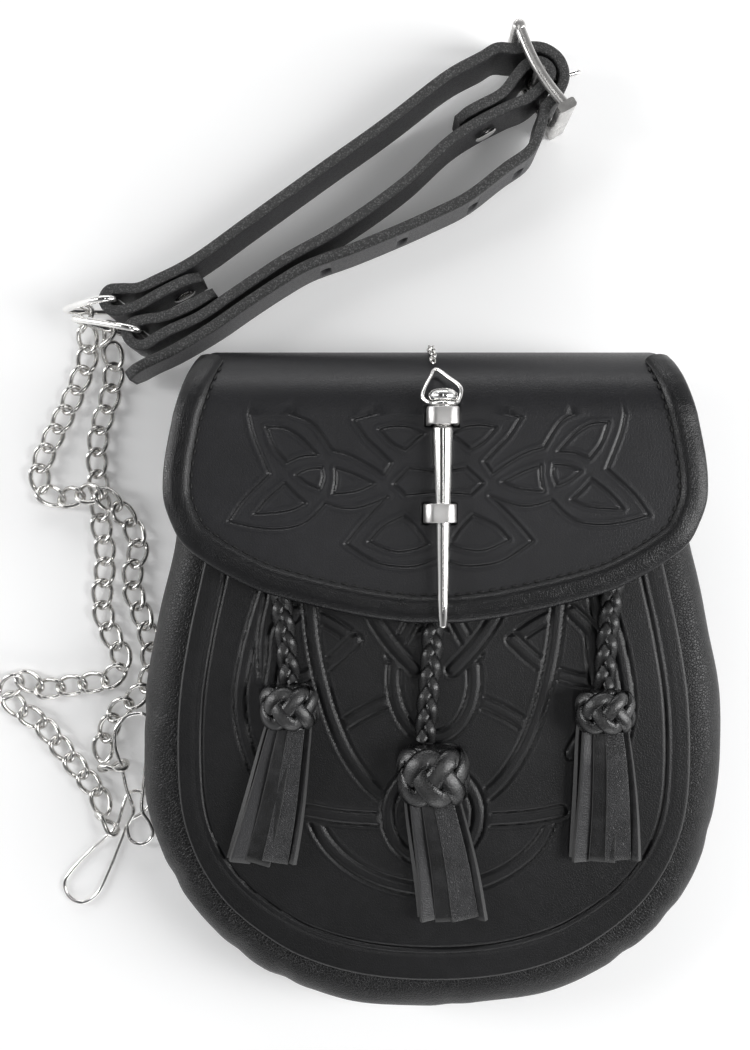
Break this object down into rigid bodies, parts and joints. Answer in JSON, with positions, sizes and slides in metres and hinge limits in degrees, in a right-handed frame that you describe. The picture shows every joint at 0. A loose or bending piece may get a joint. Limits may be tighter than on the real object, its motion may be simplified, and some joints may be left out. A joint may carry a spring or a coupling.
{
  "type": "sporran pouch",
  "caption": "Leather sporran pouch with a fold-over flap, pin closure and tassels, and its buckled strap, chains and clips, lying on its back.",
  "frame": {"origin": "centre of the underside of the plain belt strip on the pouch's back, on the surface it lies on", "axes": "+Y towards the flap's fold, +X to the right seen from the front, +Z out of the flap's face, up as it lies"},
  "size_m": [0.2276, 0.3006, 0.0521],
  "materials": {
    "leather_smooth": "smooth near-black leather with a satin sheen, tooled in relief",
    "leather_pebbled": "soft pebbled near-black leather",
    "leather_tassel": "matt grained near-black leather, braided and cut in strips",
    "leather_strap": "strap leather with smooth grey-black faces and flecked cut edges",
    "metal_polished": "bright polished nickel",
    "metal_satin": "satin nickel"
  },
  "bodies": {
    "root": {"gusset": "leather_pebbled", "front_panel": "leather_smooth", "back_and_flap": "leather_smooth", "flap_binding": "leather_smooth", "back_strap": "leather_strap", "staple_upper": "metal_satin", "staple_lower": "metal_satin", "pin": "metal_polished", "pin_bail": "metal_polished", "pin_chain": "metal_polished", "chain_rivet": "metal_polished", "tassel_left_braid": "leather_tassel", "tassel_left_knot": "leather_tassel", "tassel_left_skirt": "leather_tassel", "tassel_middle_braid": "leather_tassel", "tassel_middle_knot": "leather_tassel", "tassel_middle_skirt": "leather_tassel", "tassel_right_braid": "leather_tassel", "tassel_right_knot": "leather_tassel", "tassel_right_skirt": "leather_tassel", "strap_long": "leather_strap", "strap_short": "leather_strap", "strap_rivet_1": "metal_polished", "strap_rivet_2": "metal_polished", "strap_rivet_3": "metal_polished", "buckle_frame": "metal_polished", "buckle_prong": "metal_polished", "ring_upper": "metal_polished", "ring_lower": "metal_polished", "chain_a_1": "metal_polished", "chain_a_2": "metal_polished", "chain_a_3": "metal_polished", "chain_a_4": "metal_polished", "chain_b_1": "metal_polished", "chain_b_2": "metal_polished", "chain_b_3": "metal_polished", "chain_b_4": "metal_polished", "clip_a": "metal_polished", "clip_b": "metal_polished"}
  },
  "joints": []
}
